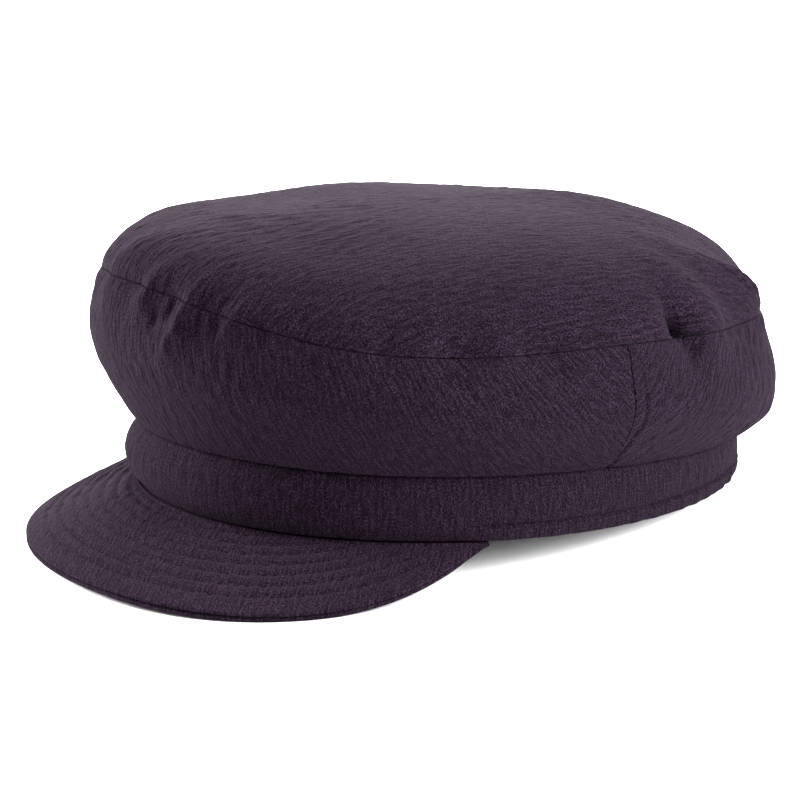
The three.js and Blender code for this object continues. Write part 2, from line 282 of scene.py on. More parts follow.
# Stitching
THREAD_COLOUR = (0.004, 0.0022, 0.0045)
THREAD_SHADES = (0.6, 1.4)
THREAD_TWIST = 1800.0  # how fine the thread's mottling is, for each metre
THREAD_ROUGHNESS = 0.9
QUILT_FIRST = 0.0072  # the first row's place, from the peak's edge
QUILT_PITCH = 0.0047
QUILT_SINK = 0.0006
QUILT_REACH = 0.0010
QUILT_UNEVEN = 0.55  # how much shallower the quilting is at the wearer's left end
QUILT_END = 1.05  # the level past which no row is sewn
QUILT_FADE = 0.1
PEAK_DIP = 0.0005  # how far the peak dips at the band, which stands over it
PEAK_DIP_REACH = 0.0016
BAND_STITCH_HEIGHT = 0.0048
BAND_STITCH_SINK = 0.0011
BAND_STITCH_REACH = 0.00045
STITCH_PITCH = 0.0027
STITCH_LENGTH = 0.0021
STITCH_THICKNESS = 0.0002
STITCH_SIDES = 6
STITCH_RINGS = 4

# How finely the cloth is divided
CROWN_COLUMNS = 480
CRUMPLED = ((-12, 29), (86, 142))  # degrees between which the crown is divided more finely
CRUMPLED_PARTS = 3
TOP_BREAK = 1.4  # the level where the top's rings become wider apart
OUTER_RINGS = 36
INNER_RINGS = 26
SIDE_ROWS = 62
BAND_COLUMNS = 480
BAND_ROWS = 76
PEAK_COLUMNS = 240
PEAK_ROWS = 92
GUIDE_FINENESS = 4  # how much finer a row's guide line is than the cloth's columns
ROLL_STEPS = (0.0, 0.15, 0.4, 0.7, 1.0, 1.6)  # rows close to an edge, as shares of its rounding

FULL_TURN = 2 * math.pi
RANDOM_SEED = 11
RIPPLE_SEEDS = {
    "crown_top_cloth": 21,
    "crown_side_front_cloth": 22,
    "crown_side_back_cloth": 23,
    "band_cloth": 24,
    "peak_upper_cloth": 25,
    "peak_lower_cloth": 26,
}
TINY = 1e-15


def unit(vectors):
    """Vectors brought to length 1. One that has no length becomes +Z."""
    lengths = np.linalg.norm(vectors, axis=-1, keepdims=True)
    return np.where(lengths > TINY, vectors / np.maximum(lengths, TINY), [0.0, 0.0, 1.0])


def on_outline(angle, out, height):
    """A point of the band's outline, moved out from it by a distance, at a height."""
    across, forward = np.sin(angle), np.cos(angle)
    outwards = np.stack([across / BAND_WIDTH, -forward / BAND_LENGTH], -1)
    outwards /= np.linalg.norm(outwards, axis=-1, keepdims=True)
    x = BAND_WIDTH / 2 * across + outwards[..., 0] * out
    y = -BAND_LENGTH / 2 * forward + outwards[..., 1] * out
    return np.stack([x, y, height + 0 * x], -1)


def section_at(column, angle):
    """A column of the sections table at an angle, on a smooth closed curve through its rows."""
    rows = SECTIONS[column]
    place = angle / FULL_TURN * len(rows)
    first = np.floor(place).astype(int)
    t = place - first
    before, here, following, after = (rows[(first + k) % len(rows)] for k in (-1, 0, 1, 2))
    bend = 2 * before - 5 * here + 4 * following - after
    turn = 3 * (here - following) + after - before
    return here + 0.5 * t * (following - before + t * (bend + t * turn))


def bezier(points, t):
    """A cubic curve through four points, each an (x, y) pair of arrays."""
    weights = ((1 - t) ** 3, 3 * (1 - t) ** 2 * t, 3 * (1 - t) * t**2, t**3)
    return [sum(weight * point[axis] for weight, point in zip(weights, points)) for axis in (0, 1)]


def near(distance, reach):
    """1 on a line, and falling to 0 within about twice a reach on both sides of it."""
    return np.exp(-((distance / reach) ** 2))


def past(distance, edge):
    """0 before a line and 1 past it, with a soft edge."""
    return 0.5 * (1 + np.tanh(distance / edge))


def fold_lift(folds, angle, level):
    """How far a table of folds lifts the crown's cloth."""
    lift = np.zeros(np.broadcast(angle, level).shape)
    for fold in (Fold(*row) for row in folds):
        above = level - fold.level
        ridge = np.radians(fold.at + fold.lean * above)
        away = np.degrees(np.arccos(np.clip(np.cos(angle - ridge), -1, 1)))
        lift += fold.lift * FOLD_HEIGHT * near(away, fold.width) * near(above, fold.length)
    return lift


def on_smooth_crown(angle, level):
    """The crown before its folds. Levels 0 to 1 climb its side, and 1 to 2 cross its top."""
    arrive = np.radians(section_at("arrive", angle))
    rim = (section_at("out", angle) * RIM_OVERHANG, section_at("rim", angle) * RIM_HEIGHT)
    past_rim = (-np.cos(arrive) * RIM_RISE, np.sin(arrive) * RIM_RISE)
    leave = np.radians(section_at("leave", angle))
    rise = SIDE_RISE * section_at("rise", angle)
    seam = (0 * leave, BAND_HEIGHT * section_at("band", angle) + SEWN_GAP)
    above_seam = (seam[0] + np.cos(leave) * rise, seam[1] + np.sin(leave) * rise)
    below_rim = (rim[0] - past_rim[0], rim[1] - past_rim[1])
    out, height = bezier((seam, above_seam, below_rim, rim), np.minimum(level, 1))
    side = on_outline(angle, out, height)

    edge = on_outline(angle, rim[0], 0)
    radius = np.linalg.norm(edge, axis=-1)
    above_rim = (radius + past_rim[0], rim[1] + past_rim[1])
    flat = (radius * TOP_FLAT, CROWN_HEIGHT + 0 * radius)
    centre = (0 * radius, CROWN_HEIGHT + 0 * radius)
    reach, height = bezier(((radius, rim[1]), above_rim, flat, centre), np.clip(level - 1, 0, 1))
    top = edge * (reach / radius)[..., None]
    top[..., 2] = height
    return np.where((level <= 1)[..., None], side, top)


def out_of(face, u, v):
    """The direction out of a face that a function gives, from small steps to both sides of a point."""
    step = 1e-3
    along_u = face(u + step, v) - face(u - step, v)
    along_v = face(u, v + step) - face(u, v - step)
    return unit(np.cross(along_u, along_v))


def waves(angle, counts, seed):
    """A wavy line round the crown, of height about 1, whose waves swell and shrink."""
    phases = np.random.default_rng(seed).uniform(0, FULL_TURN, (len(counts), 2))
    total = 0
    for count, (phase, swell) in zip(counts, phases):
        size = 1 - WAVE_SWELL + WAVE_SWELL * np.sin(SWELLS * angle + swell)
        total = total + np.sin(count * angle + phase) * size
    return total / math.sqrt(len(counts))


def rim_seam_lift(angle, level):
    """What the rim seam does to the crown's cloth: it sinks at the seam, puckers beside it and stands
    out over the folded cloth behind it."""
    from_rim = (level - 1) * RIM_LEVEL
    puckers = waves(angle, PUCKER_WAVES, RANDOM_SEED)
    allowance = past(from_rim + RIM_ALLOWANCE, RIM_ALLOWANCE_EDGE) * (level <= 1)
    return (
        PUCKER_LIFT * puckers * near(from_rim, PUCKER_REACH)
        + RIM_ALLOWANCE_LIFT * allowance * (1 - near(from_rim, SEAM_REACH))
        - SEAM_SINK * near(from_rim, SEAM_REACH)
    )


def side_seam_lift(angle, level):
    """What the side seams do: the cloth sinks at the seam and again along a line behind it."""
    width = STRIP_WIDTH * np.clip(level / STRIP_FULL_LEVEL, STRIP_LEAST, 1)
    on_side = 1 - np.clip((level - STRIP_END) / STRIP_FADE, 0, 1)
    lift = 0
    for side in (1, -1):
        from_seam = side * angle - math.radians(SIDE_SEAM_TURN)
        back = np.arctan2(np.sin(from_seam), np.cos(from_seam)) * BAND_LENGTH / 2
        strip = np.clip(back / width, 0, 1) * past(width - back, STRIP_EDGE)
        lift = lift - on_side * (
            SIDE_SEAM_SINK * near(back, SIDE_SEAM_REACH)
            + STRIP_SINK * strip
            + LINE_SINK * near(back - width, LINE_REACH)
        )
    return lift


def base_sink(angle, from_seam):
    """How far the cloth draws in towards the seam between the crown and the band."""
    uneven = 1 + BASE_UNEVEN * waves(angle, BASE_WAVES, RANDOM_SEED)
    return BASE_SINK * uneven * near(from_seam, BASE_REACH)


def on_crown(angle, level):
    """The crown's outer face, folds, creases and seams and all."""
    angle, level = np.broadcast_arrays(angle, level)
    folds = fold_lift(CROWN_FOLDS + CREASES, angle, level)
    lift = folds + rim_seam_lift(angle, level) + side_seam_lift(angle, level)
    lift = np.where(level > TOP_MIDDLE, 0, lift)[..., None]
    out = out_of(on_smooth_crown, angle, np.minimum(level, TOP_MIDDLE))
    outwards = on_outline(angle, 1.0, 0) - on_outline(angle, 0.0, 0)
    drawn = outwards * base_sink(angle, level * BASE_LEVEL)[..., None]
    return on_smooth_crown(angle, np.minimum(level, 2)) + out * lift - drawn


def hem_share(angle):
    """How much of the band's hem shows at an angle: none of it over the peak."""
    from_front = np.degrees(np.arccos(np.clip(np.cos(angle), -1, 1)))
    return np.clip((from_front - HEM_START) / HEM_FADE, 0, 1)


def on_band(angle, share):
    """The band's outer face, from its lower edge (0) to its upper one (1)."""
    height = BAND_HEIGHT * section_at("band", angle) * share
    belly = BAND_BELLY * section_at("belly", angle) * np.sin(math.pi * share)
    below_stitches = BAND_STITCH_HEIGHT - height
    groove = BAND_STITCH_SINK * near(below_stitches, BAND_STITCH_REACH)
    puffed = HEM_LIFT + HEM_PUCKER * waves(angle, PUCKER_WAVES[1:], RANDOM_SEED + 1)
    hem = hem_share(angle)
    out = belly + hem * (puffed * past(below_stitches, BAND_STITCH_REACH) - groove)
    out -= (1 - hem) * FRONT_SINK * near(height, FRONT_REACH)
    out -= base_sink(angle, BAND_HEIGHT * section_at("band", angle) * (1 - share))
    return on_outline(angle, out, height)


def end_share(across):
    """How thick the peak's cloths are, which are pressed thin at its ends under the band's hem."""
    from_end = np.clip((1 - np.abs(across)) / PEAK_END_REACH, 0, 1)
    return PEAK_END_WALL + (1 - PEAK_END_WALL) * from_end


def peak_length_at(across, lip):
    """How long the peak is along its cloth, from its edge to the band."""
    return PEAK_LENGTH * np.maximum(0, 1 - np.abs(across) ** PEAK_FULLNESS) ** PEAK_TAPER + lip


def on_smooth_peak(across, level, lip=0.0):
    """The peak's upper face before its quilting: from its edge (level 0) to the band (1), on under
    it (2), and up behind it (3)."""
    across, level = np.broadcast_arrays(across, level)
    angle = math.radians(PEAK_SPREAD) * across
    length = peak_length_at(across, lip)
    droop = np.radians(PEAK_DROOP + (PEAK_END_DROOP - PEAK_DROOP) * across**2)
    along = length * (1 - np.minimum(level, 1))
    first = PEAK_FIRST_DROOP * droop
    bend = PEAK_MORE_DROOP * droop / np.maximum(length, SEAM_GAP)
    slope = first + bend * along
    out = (np.sin(slope) - np.sin(first)) / bend
    down = (np.cos(first) - np.cos(slope)) / bend
    tuck = PEAK_TUCK * np.clip(level - 1, 0, 1) + PEAK_TURN_IN * np.maximum(level - 2, 0)
    rise = PEAK_TURN_UP * np.maximum(level - 2, 0)
    return on_outline(angle, out - tuck, -SEAM_GAP - down + rise)


def quilting(from_edge):
    """How far the rows of stitches draw the peak's cloth in, at a distance from its edge."""
    place = (from_edge - QUILT_FIRST) / QUILT_PITCH
    row = np.maximum(np.round(place), 0)
    away = (place - row) * QUILT_PITCH
    return QUILT_SINK * near(away, QUILT_REACH)


def peak_sink(across, level):
    """How far the peak's upper cloth is drawn in, by its rows of stitches and under the band."""
    length = peak_length_at(across, 0)
    before_band = np.clip((QUILT_END - level) / QUILT_FADE, 0, 1)
    rows = quilting(length * level) * (1 - QUILT_UNEVEN * across) * before_band
    from_band = length * (1 - np.minimum(level, 1))
    dip = PEAK_DIP * end_share(across) * near(from_band, PEAK_DIP_REACH)
    return np.maximum(rows, dip)


def on_peak(across, level):
    """The peak's upper face with its quilting."""
    across, level = np.broadcast_arrays(across, level)
    sink = peak_sink(across, level)
    return on_smooth_peak(across, level) - out_of(on_smooth_peak, across, level) * sink[..., None]


def on_lower_peak(across, level):
    """The upper face of the peak's under layer."""

    def face(u, v):
        return on_smooth_peak(u, v, PEAK_LIP)

    depth = PEAK_UPPER_WALL * end_share(across) + LAYER_GAP + 0 * level
    return face(across, level) - out_of(face, across, level) * depth[..., None]


def upper_peak_wall(across, level):
    return PEAK_UPPER_WALL * end_share(across) - peak_sink(across, level)


def lower_peak_wall(across, level):
    return PEAK_LOWER_WALL * end_share(across) + 0 * level


# The border of a grid at each of its edges, and the row or column beside it
EDGE_ROWS = {
    "low": (np.s_[0], np.s_[1]),
    "high": (np.s_[-1], np.s_[-2]),
    "left": (np.s_[:, 0], np.s_[:, 1]),
    "right": (np.s_[:, -1], np.s_[:, -2]),
}
ALL_EDGES = tuple(EDGE_ROWS)


def lengths_along(points, axis):
    """How far each point of a grid lies along its row (axis 1) or column (axis 0), from the first."""
    steps = np.linalg.norm(np.diff(points, axis=axis), axis=-1)
    start = np.zeros_like(np.take(points[..., 0], [0], axis=axis))
    return np.concatenate([start, np.cumsum(steps, axis=axis)], axis=axis)


def edge_distance(points, edges):
    """How far each point of a grid lies from the nearest of its cloth edges."""
    up = lengths_along(points, 0)
    across = lengths_along(points, 1)
    distances = {
        "low": up,
        "high": up[-1:] - up,
        "left": across,
        "right": across[:, -1:] - across,
    }
    return np.minimum.reduce([distances[edge] for edge in edges])


def ripple(grain, seed):
    """Soft ripples along the grain of the cloth, of height about 1."""
    random = np.random.default_rng(seed)
    total = np.zeros(grain.shape[:-1])
    for _ in range(RIPPLE_WAVES):
        across = FULL_TURN / random.uniform(*RIPPLE_ACROSS)
        along = FULL_TURN / random.uniform(*RIPPLE_ALONG) * random.choice((-1, 1))
        phase = random.uniform(0, FULL_TURN)
        total += np.sin(grain[..., 0] * across + grain[..., 1] * along + phase)
    return total / math.sqrt(RIPPLE_WAVES / 2)


def grid_faces(index):
    """The four-sided faces of a grid of numbered points."""
    corners = (index[:-1, :-1], index[:-1, 1:], index[1:, 1:], index[1:, :-1])
    return np.stack(corners, -1).reshape(-1, 4)


def edge_faces(line, layer):
    """The faces that join a line of outer points to the same line of inner ones."""
    start, end = line[:-1], line[1:]
    return np.stack([start, start + layer, end + layer, end], -1)


def cloth_faces(rows, columns, edges):
    """The faces of a closed cloth, whose inner points are numbered after all the outer ones."""
    layer = rows * columns
    index = np.arange(layer).reshape(rows, columns)
    borders = {
        "low": index[0],
        "high": index[-1, ::-1],
        "left": index[::-1, 0],
        "right": index[:, -1],
    }
    outer = grid_faces(index)
    joined = [edge_faces(borders[edge], layer) for edge in edges]
    return np.concatenate([outer, outer[:, ::-1] + layer, *joined])


def weld(mesh):
    """Joins the points of a mesh that lie in one place."""
    shape = bmesh.new()
    shape.from_mesh(mesh)
    bmesh.ops.remove_doubles(shape, verts=shape.verts, dist=WELD_REACH)
    shape.to_mesh(mesh)
    shape.free()


def cloth_mesh(name, outer, inner, grain, edges):
    """A mesh of a cloth's two sides, with its place on flat cloth as a UV map."""
    faces = cloth_faces(*grain.shape[:2], edges)
    points = np.concatenate([outer.reshape(-1, 3), inner.reshape(-1, 3)])
    mesh = bpy.data.meshes.new(name)
    mesh.from_pydata(points, [], faces.tolist())
    flat = np.concatenate([grain.reshape(-1, 2)] * 2)[faces.ravel()]
    uv = mesh.uv_layers.new(name="grain")
    uv.data.foreach_set("uv", flat.astype(np.float32).ravel())
    weld(mesh)
    mesh.shade_smooth()
    return mesh


def add_object(name, data):
    """A new object in the scene."""
    added = bpy.data.objects.new(name, data)
    bpy.context.collection.objects.link(added)
    return added


# A piece of cloth: its outer face over a grid of us by vs, and its wall. lay_grain gives each point
# its place on flat cloth. sewn names the edges that meet another piece.
Cloth = namedtuple(
    "Cloth",
    "name face us vs wall roll lay_grain edges sewn lap upright rippled",
    defaults=(SEWN_LAP, False, 1.0),
)


def make_cloth(cloth):
    """One closed piece of cloth, thickened inwards from its outer face and rounded at its edges."""
    u, v = np.meshgrid(cloth.us, cloth.vs)
    points = cloth.face(u, v)
    out = out_of(cloth.face, u, v)
    if cloth.upright:
        out = unit(out * [1, 1, 0])
    grain = cloth.lay_grain(points, u)
    from_edge = edge_distance(points, cloth.edges)
    ripples = RIPPLE_LIFT * cloth.rippled * ripple(grain, RIPPLE_SEEDS[cloth.name])
    points = points + out * (ripples * (1 - np.exp(-from_edge / RIPPLE_CALM)))[..., None]
    inside = 1 - np.clip(from_edge / cloth.roll, 0, 1)
    sink = np.minimum(cloth.roll, ROLL_LIMIT * cloth.wall) * (1 - np.sqrt(1 - inside**2))
    outer = points - out * sink[..., None]
    inner = points - out * (cloth.wall - sink)[..., None]
    for edge in cloth.sewn:
        border, beside = EDGE_ROWS[edge]
        inner[border] += unit(points[border] - points[beside]) * cloth.lap
    return add_object(cloth.name, cloth_mesh(cloth.name, outer, inner, grain, cloth.edges))


def lay_top(points, angles):
    """The top's place on flat cloth: its distance from the middle, in the direction that it lies."""
    reach = lengths_along(points[::-1], 0)[::-1]
    return np.stack([reach * np.sin(angles), -reach * np.cos(angles)], -1)


def lay_side(points, angles):
    """A side panel's place on flat cloth, where it is part of a wide ring."""
    up = lengths_along(points, 0)
    middle = len(points) // 2
    along = lengths_along(points[middle : middle + 1], 1)
    turn = (along - along[:, -1:] / 2) / (SIDE_SWEEP + up[middle].mean())
    reach = SIDE_SWEEP + up
    return np.stack([reach * np.sin(turn), reach * np.cos(turn)], -1)


def lay_straight(points, angles):
    """The band's place on flat cloth, where it is a straight strip."""
    along = lengths_along(points, 1).mean(axis=0) + 0 * angles
    return np.stack([along, points[..., 2]], -1)


def lay_peak(points, across):
    """The peak's place on flat cloth, whose grain runs aslant."""
    turn = math.radians(PEAK_GRAIN_TURN)
    u = points[..., 0] * math.cos(turn) + points[..., 1] * math.sin(turn)
    v = -points[..., 0] * math.sin(turn) + points[..., 1] * math.cos(turn)
    return np.stack([u, v], -1)


def spread(start, end, count, start_roll=0.0, end_roll=0.0):
    """Values from start to end, with more of them close to an end that is rounded over a length."""
    steps = np.array(ROLL_STEPS)
    first = start + start_roll * steps if start_roll else np.array([start])
    last = end - end_roll * steps if end_roll else np.array([end])
    inner = np.linspace(first[-1], last[-1], count + 1)
    return np.unique(np.concatenate([first, inner, last]))


def finer_where_crumpled(angles):
    """The angles, with more of them added where the crown is crumpled."""
    steps = np.diff(angles)
    middles = (np.degrees(angles[:-1] + steps / 2) + 180) % 360 - 180
    fine = np.any([(low < middles) & (middles < high) for low, high in CRUMPLED], axis=0)
    parts = [part / CRUMPLED_PARTS for part in range(1, CRUMPLED_PARTS)]
    added = [angles[:-1][fine] + steps[fine] * part for part in parts]
    return np.sort(np.concatenate([angles, *added]))


def make_crown_top():
    start = 1 + SEWN_GAP / 2 / RIM_LEVEL
    outer = spread(start, TOP_BREAK, OUTER_RINGS, start_roll=CROWN_ROLL / RIM_LEVEL)
    inner = np.linspace(TOP_BREAK, 2, INNER_RINGS + 1)[1:]
    levels = np.concatenate([outer, inner])
    angles = finer_where_crumpled(np.linspace(0, FULL_TURN, CROWN_COLUMNS + 1))
    edges = ("low",)
    return make_cloth(Cloth(
        "crown_top_cloth", on_crown, angles, levels, CROWN_WALL, CROWN_ROLL, lay_top, edges, edges
    ))


def make_crown_side(name, middle, half_turn):
    reach = half_turn - SEWN_GAP / BAND_WIDTH
    side_roll = CROWN_ROLL / (BAND_LENGTH / 2)
    even = spread(middle - reach, middle + reach, CROWN_COLUMNS // 2, side_roll, side_roll)
    angles = finer_where_crumpled(even)
    end = 1 - SEWN_GAP / 2 / RIM_LEVEL
    levels = spread(0, end, SIDE_ROWS, CROWN_ROLL / BASE_LEVEL, CROWN_ROLL / RIM_LEVEL)
    return make_cloth(Cloth(
        name, on_crown, angles, levels, CROWN_WALL, CROWN_ROLL, lay_side, ALL_EDGES, ALL_EDGES
    ))


def make_band():
    roll = BAND_ROLL / BAND_HEIGHT
    shares = spread(0, 1, BAND_ROWS, roll, roll)
    angles = np.linspace(FULL_TURN / 2, FULL_TURN * 3 / 2, BAND_COLUMNS + 1)
    return make_cloth(Cloth(
        "band_cloth", on_band, angles, shares, BAND_WALL, BAND_ROLL, lay_straight,
        edges=("low", "high"), sewn=("high",), lap=BAND_LAP, upright=True,
    ))


def make_peak(name, face, wall_at, tucked, rippled):
    on_show = spread(0, 1, PEAK_ROWS, start_roll=PEAK_ROLL / PEAK_LENGTH)
    levels = np.concatenate([on_show, tucked])
    acrosses = np.linspace(-1, 1, PEAK_COLUMNS + 1)
    wall = wall_at(*np.meshgrid(acrosses, levels))
    return make_cloth(Cloth(
        name, face, acrosses, levels, wall, PEAK_ROLL, lay_peak, ALL_EDGES, (), rippled=rippled
    ))


def resting_tilt():
    """How far the cap tilts back to stand on the lowest part of its peak and the back of its band."""
    across = np.linspace(-1, 1, PEAK_COLUMNS + 1)
    level = np.zeros_like(across)
    out = out_of(on_lower_peak, across, level)
    under = on_lower_peak(across, level) - out * PEAK_LOWER_WALL
    return float(np.max(np.arctan2(-under[:, 2], BAND_LENGTH / 2 - under[:, 1])))


def standing_place(band):
    """The matrix that stands the cap on the table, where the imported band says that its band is."""
    tilt = resting_tilt()
    place = Matrix.Rotation(-tilt, 4, "X")
    place.translation.z = BAND_LENGTH / 2 * math.sin(tilt) - REST_PRESS
    low, high = (Vector(corner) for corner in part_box("band"))
    placed = [place @ vertex.co for vertex in band.data.vertices]
    for axis in (0, 1):
        values = [point[axis] for point in placed]
        place.translation[axis] = (low[axis] + high[axis] - min(values) - max(values)) / 2
    return place


def stand(piece, place):
    """Puts a piece in its place and presses flat what would lie below the table."""
    piece.data.transform(place)
    points = np.empty(len(piece.data.vertices) * 3, dtype=np.float32)
    piece.data.vertices.foreach_get("co", points)
    points[2::3] = np.maximum(points[2::3], 0)
    piece.data.vertices.foreach_set("co", points)
    piece.data.update()


class Socket:
    """A socket of a shader or geometry tree, on which Python's operators build Math nodes."""

    def __init__(self, tree, socket):
        self.tree = tree
        self.socket = socket

    def math(self, operation, *values):
        return add_node(self.tree, "ShaderNodeMath", dict(enumerate(values)), operation=operation)

    def __add__(self, other):
        return self.math("ADD", self, other)

    def __mul__(self, other):
        return self.math("MULTIPLY", self, other)

    def __sub__(self, other):
        return self.math("SUBTRACT", self, other)

    def wave(self):
        return self.math("SINE", self) * 0.5 + 0.5

    def limited(self):
        return self.math("MINIMUM", self.math("MAXIMUM", self, 0.0), 1.0)

    def between(self, low, high):
        return self * (high - low) + low


def add_node(tree, kind, inputs=None, output=0, **settings):
    """Adds a node with its settings, and links or sets its inputs by name or number."""
    node = tree.nodes.new(kind)
    for name, value in settings.items():
        setattr(node, name, value)
    for key, value in (inputs or {}).items():
        if isinstance(value, Socket):
            tree.links.new(value.socket, node.inputs[key])
        else:
            node.inputs[key].default_value = value
    return Socket(tree, node.outputs[output]) if node.outputs else node


def new_material(name):
    material = bpy.data.materials.new(name)
    material.use_nodes = True
    material.node_tree.nodes.clear()
    return material, material.node_tree


def finish_material(tree, inputs):
    shader = add_node(tree, "ShaderNodeBsdfPrincipled", inputs)
    add_node(tree, "ShaderNodeOutputMaterial", {"Surface": shader})


def grain_noise(tree, size, detail, roughness=0.5):
    """Noise on the flat cloth, of a size across and along its grain."""
    grain = add_node(tree, "ShaderNodeUVMap", uv_map="grain")
    scale = (1 / size[0], 1 / size[1], 1)
    place = add_node(tree, "ShaderNodeVectorMath", {0: grain, 1: scale}, operation="MULTIPLY")
    inputs = {"Vector": place, "Scale": 1.0, "Detail": detail, "Roughness": roughness}
    return add_node(tree, "ShaderNodeTexNoise", inputs, noise_dimensions="2D")


def crepe_ribs(tree, pitch, specks):
    """The crinkles of crepe: fine ribs along the grain that wander and break up into strands."""
    grain = add_node(tree, "ShaderNodeUVMap", uv_map="grain")
    across = add_node(tree, "ShaderNodeSeparateXYZ", {"Vector": grain})
    wander = grain_noise(tree, RIB_WANDER_SIZE, 2.0)
    turn = across * (FULL_TURN / pitch) + wander * RIB_WANDER + specks * SPECK_WANDER
    strands = grain_noise(tree, (STRAND_WIDTH * pitch, RIB_LENGTH), 1.5)
    return (turn.wave() * RIB_SHARE + (strands - 0.5) * STRAND_CONTRAST + RIB_BASE).limited()


def crepe_material(crepe):
    """Matt crinkled crepe: ribs over a pebbled yarn, with painted shade in the ribs' hollows and
    painted highlights on the crests, which make the pebbles show as light specks.
    """
    material, tree = new_material(crepe.name)
    pebble_size = (crepe.pebble_size, PEBBLE_STRETCH * crepe.pebble_size)
    specks = grain_noise(tree, pebble_size, 2.0, PEBBLE_ROUGHNESS)
    rib = crepe_ribs(tree, crepe.rib_pitch, specks)
    pebble = ((specks - 0.5) * PEBBLE_CONTRAST + PEBBLE_BASE).limited()
    patches = grain_noise(tree, PATCH_SIZE, 2.0)
    height = rib * crepe.rib_depth + pebble * crepe.pebble_depth
    bump = add_node(tree, "ShaderNodeBump", {"Strength": 1.0, "Distance": 1.0, "Height": height})
    # Painted shade in the ribs' hollows and painted light on the ribs' and pebbles' crests, times a
    # random mottling in patches
    shade = rib.between(*RIB_PAINTED_SHADE_AND_LIGHT) * pebble.between(*PEBBLE_PAINTED_LIGHT)
    shade = shade * patches.between(*PATCH_SHADES)
    # The cloth's colour mixed towards a painted highlight colour on the pebbles' crests
    colour_and_painted_highlight = {0: pebble * SPECK_HIGHLIGHT_SHARE, 6: crepe.colour, 7: SPECK_HIGHLIGHT_COLOUR}
    yarn = add_node(tree, "ShaderNodeMix", colour_and_painted_highlight, output=2, data_type="RGBA")
    tone = add_node(tree, "ShaderNodeVectorMath", {0: yarn, "Scale": shade}, operation="SCALE")
    finish_material(tree, {
        "Base Color": tone,
        "Normal": bump,
        "Roughness": CREPE_ROUGHNESS,
        "Specular IOR Level": GLOSS,
        "Sheen Weight": SHEEN,
        "Sheen Roughness": SHEEN_ROUGHNESS,
        "Sheen Tint": SHEEN_TINT,
    })
    return material


def thread_material():
    material, tree = new_material("sewing_thread")
    place = add_node(tree, "ShaderNodeTexCoord", output="Object")
    inputs = {"Vector": place, "Scale": THREAD_TWIST, "Detail": 1.0}
    shade = add_node(tree, "ShaderNodeTexNoise", inputs).between(*THREAD_SHADES)
    inputs = {0: THREAD_COLOUR, "Scale": shade}
    tone = add_node(tree, "ShaderNodeVectorMath", inputs, operation="SCALE")
    finish_material(tree, {
        "Base Color": tone,
        "Roughness": THREAD_ROUGHNESS,
        "Specular IOR Level": GLOSS,
    })
    return material


def plain_material(name, colour, roughness):
    material, tree = new_material(name)
    finish_material(tree, {"Base Color": colour, "Roughness": roughness})
    return material


def new_stitch_tree():
    """An empty Geometry Nodes tree with the stitch's inputs, and a socket for each of them."""
    tree = bpy.data.node_groups.new("stitch_row", "GeometryNodeTree")
    kinds = {"Geometry": "Geometry", "Pitch": "Float", "Length": "Float", "Thickness": "Float"}
    kinds["Thread"] = "Material"
    for name, kind in kinds.items():
        tree.interface.new_socket(name, in_out="INPUT", socket_type=f"NodeSocket{kind}")
    tree.interface.new_socket("Geometry", in_out="OUTPUT", socket_type="NodeSocketGeometry")
    group = tree.nodes.new("NodeGroupInput")
    return tree, {socket.name: Socket(tree, socket) for socket in group.outputs if socket.name}


def stitch_tree():
    """The tree that sets a short stitch at even steps along every line of a mesh of lines."""
    tree, given = new_stitch_tree()
    thickness = given["Thickness"]
    line = add_node(tree, "GeometryNodeMeshToCurve", {"Mesh": given["Geometry"]})
    inputs = {"Curve": line, "Length": given["Pitch"]}
    steps = add_node(tree, "GeometryNodeResampleCurve", inputs, mode="LENGTH")
    inputs = {"Segments": STITCH_SIDES, "Rings": STITCH_RINGS, "Radius": 0.5}
    ball = add_node(tree, "GeometryNodeMeshUVSphere", inputs)
    inputs = {"X": given["Length"], "Y": thickness, "Z": thickness}
    size = add_node(tree, "ShaderNodeCombineXYZ", inputs)
    stitch = add_node(tree, "GeometryNodeTransform", {"Geometry": ball, "Scale": size})
    along = add_node(tree, "GeometryNodeInputTangent")
    turn = add_node(tree, "FunctionNodeAlignRotationToVector", {"Vector": along}, axis="X")
    inputs = {"Points": steps, "Instance": stitch, "Rotation": turn}
    row = add_node(tree, "GeometryNodeInstanceOnPoints", inputs)
    solid = add_node(tree, "GeometryNodeRealizeInstances", {"Geometry": row})
    smooth = add_node(tree, "GeometryNodeSetShadeSmooth", {"Geometry": solid})
    inputs = {"Geometry": smooth, "Material": given["Thread"]}
    finished = add_node(tree, "GeometryNodeSetMaterial", inputs)
    add_node(tree, "NodeGroupOutput", {"Geometry": finished})
    return tree


def guide_lines(name, lines):
    """An object of the lines that a row of stitches follows."""
    edges = []
    start = 0
    for line in lines:
        edges += [(k, k + 1) for k in range(start, start + len(line) - 1)]
        start += len(line)
    mesh = bpy.data.meshes.new(name)
    mesh.from_pydata(np.concatenate(lines), edges, [])
    return add_object(name, mesh)


def sew(name, lines, tree, thread, place):
    """Stitches along lines on the upright cap, as one plain mesh in its place on the table."""
    guide = guide_lines(f"{name}_lines", lines)
    modifier = guide.modifiers.new("stitches", "NODES")
    modifier.node_group = tree
    wanted = {
        "Pitch": STITCH_PITCH,
        "Length": STITCH_LENGTH,
        "Thickness": STITCH_THICKNESS,
        "Thread": thread,
    }
    for item in tree.interface.items_tree:
        if item.in_out == "INPUT" and item.name in wanted:
            modifier[item.identifier] = wanted[item.name]
    bpy.context.view_layer.update()
    evaluated = guide.evaluated_get(bpy.context.evaluated_depsgraph_get())
    mesh = bpy.data.meshes.new_from_object(evaluated)
    mesh.name = name
    bpy.data.objects.remove(guide)
    stitches = add_object(name, mesh)
    stand(stitches, place)
    return stitches


